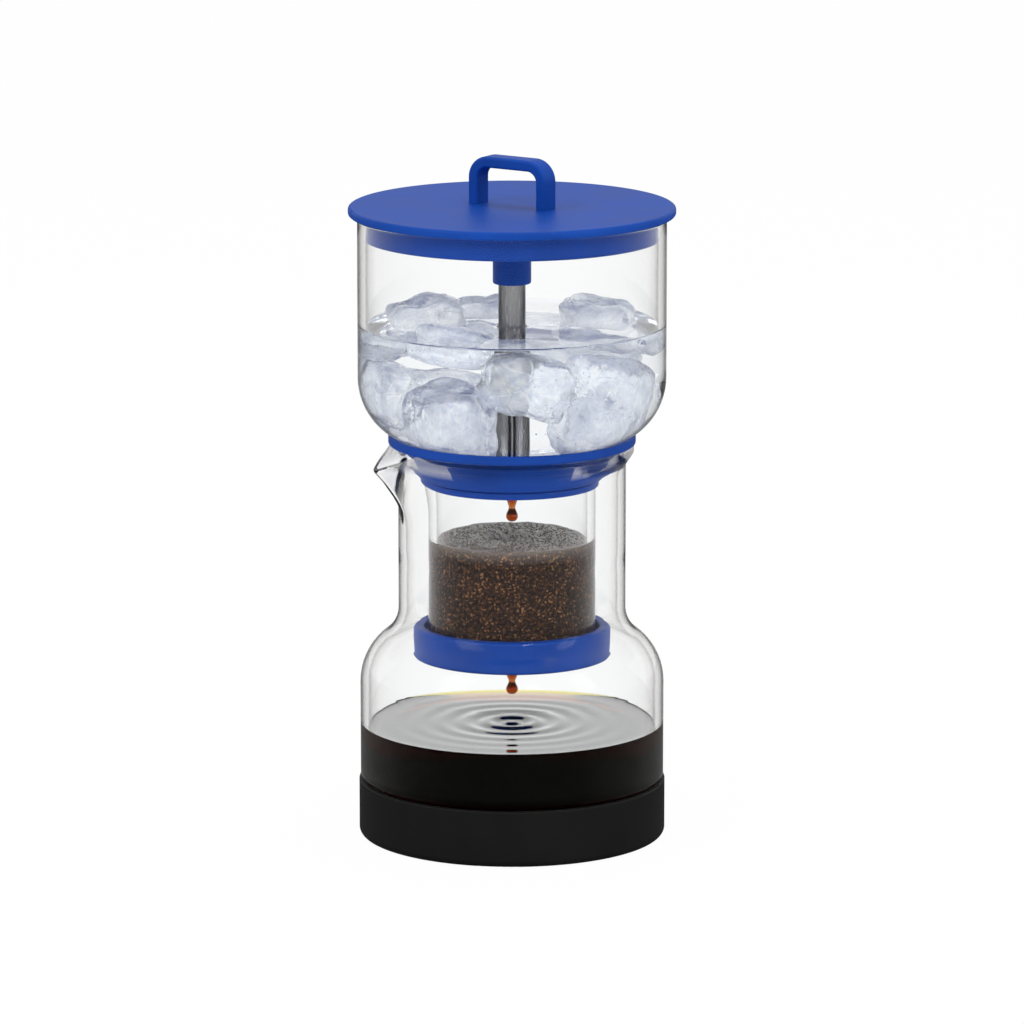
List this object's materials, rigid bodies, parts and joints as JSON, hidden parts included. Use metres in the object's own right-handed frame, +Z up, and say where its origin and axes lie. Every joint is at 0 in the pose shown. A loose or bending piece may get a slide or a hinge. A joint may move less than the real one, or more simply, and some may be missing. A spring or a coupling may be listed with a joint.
{
  "type": "cold brew coffee maker",
  "caption": "Slow-drip cold brew coffee maker: lidded glass water tank with needle valve, brew chamber with filter cup, and spouted glass carafe in a silicone boot.",
  "frame": {"origin": "centre of the base boot's underside, on the surface it stands on", "axes": "+Z up, -X the way the spout points, give or take fifteen degrees, -Y the side shown in the picture"},
  "size_m": [0.1276, 0.1276, 0.2689],
  "materials": {
    "boot_silicone": "matte black silicone",
    "clear_glass": "clear polished borosilicate glass",
    "coffee": "liquid, dark brown",
    "blue_silicone": "satin blue silicone",
    "clear_silicone": "translucent silicone",
    "grounds": "wet ground coffee",
    "steel": "brushed stainless steel",
    "brass": "turned brass",
    "blue_plastic": "satin blue plastic",
    "water": "liquid, clear",
    "ice": "clear to cloudy ice"
  },
  "bodies": {
    "carafe": {"base_boot": "boot_silicone", "carafe_bowl": "clear_glass", "carafe_neck": "clear_glass", "brewed_coffee": "coffee"},
    "brew_unit": {"collar_seal": "blue_silicone", "chamber_glass": "clear_glass", "chamber_gasket": "clear_silicone", "coffee_grounds": "grounds"},
    "filter_cup": {"filter_cup": "blue_silicone", "mesh_frame": "steel", "filter_mesh": "steel", "filter_drop": "coffee"},
    "tank": {"tank_glass": "clear_glass", "tank_grommet": "blue_silicone", "valve_body": "steel", "valve_seat": "clear_silicone", "lock_nut": "blue_plastic", "drip_nozzle": "blue_plastic", "nozzle_washer": "clear_silicone", "valve_drop": "coffee", "water": "water", "ice_cubes": "ice"},
    "valve_stem": {"stem_tube": "steel", "thread_bush": "brass"},
    "valve_needle": {"valve_needle": "steel"},
    "lid_ring": {"lid_ring": "blue_silicone"},
    "lid": {"lid_disc": "blue_plastic", "drive_boss": "blue_plastic", "handle": "blue_plastic", "handle_screws": "steel"}
  },
  "joints": [
    {"name": "brew_unit_lift", "type": "slide", "parent": "carafe", "child": "brew_unit", "axis": [0, 0, 1], "range_m": [0, 0.1]},
    {"name": "filter_cup_pull", "type": "slide", "parent": "brew_unit", "child": "filter_cup", "axis": [0, 0, -1], "range_m": [0, 0.009]},
    {"name": "tank_lift", "type": "slide", "parent": "brew_unit", "child": "tank", "axis": [0, 0, 1], "range_m": [0, 0.05]},
    {"name": "lid_lift", "type": "slide", "parent": "tank", "child": "lid_ring", "axis": [0, 0, 1], "range_m": [0, 0.05]},
    {"name": "lid_turn", "type": "hinge", "parent": "lid_ring", "child": "lid", "pos_m": [0, 0, 0.2465], "axis": [0, 0, 1], "range_deg": [-90, 180]},
    {"name": "stem_turn", "type": "hinge", "parent": "tank", "child": "valve_stem", "pos_m": [0, 0, 0.1626], "axis": [0, 0, 1], "range_deg": [-90.5, 180.5]},
    {"name": "needle_lift", "type": "slide", "parent": "tank", "child": "valve_needle", "axis": [0, 0, 1], "range_m": [-0.00076, 0.00151]}
  ],
  "couplings": [
    {"joint": "stem_turn", "follows": "lid_turn", "ratio": 1},
    {"joint": "needle_lift", "follows": "lid_turn", "m_per_rad": 0.00047746}
  ]
}
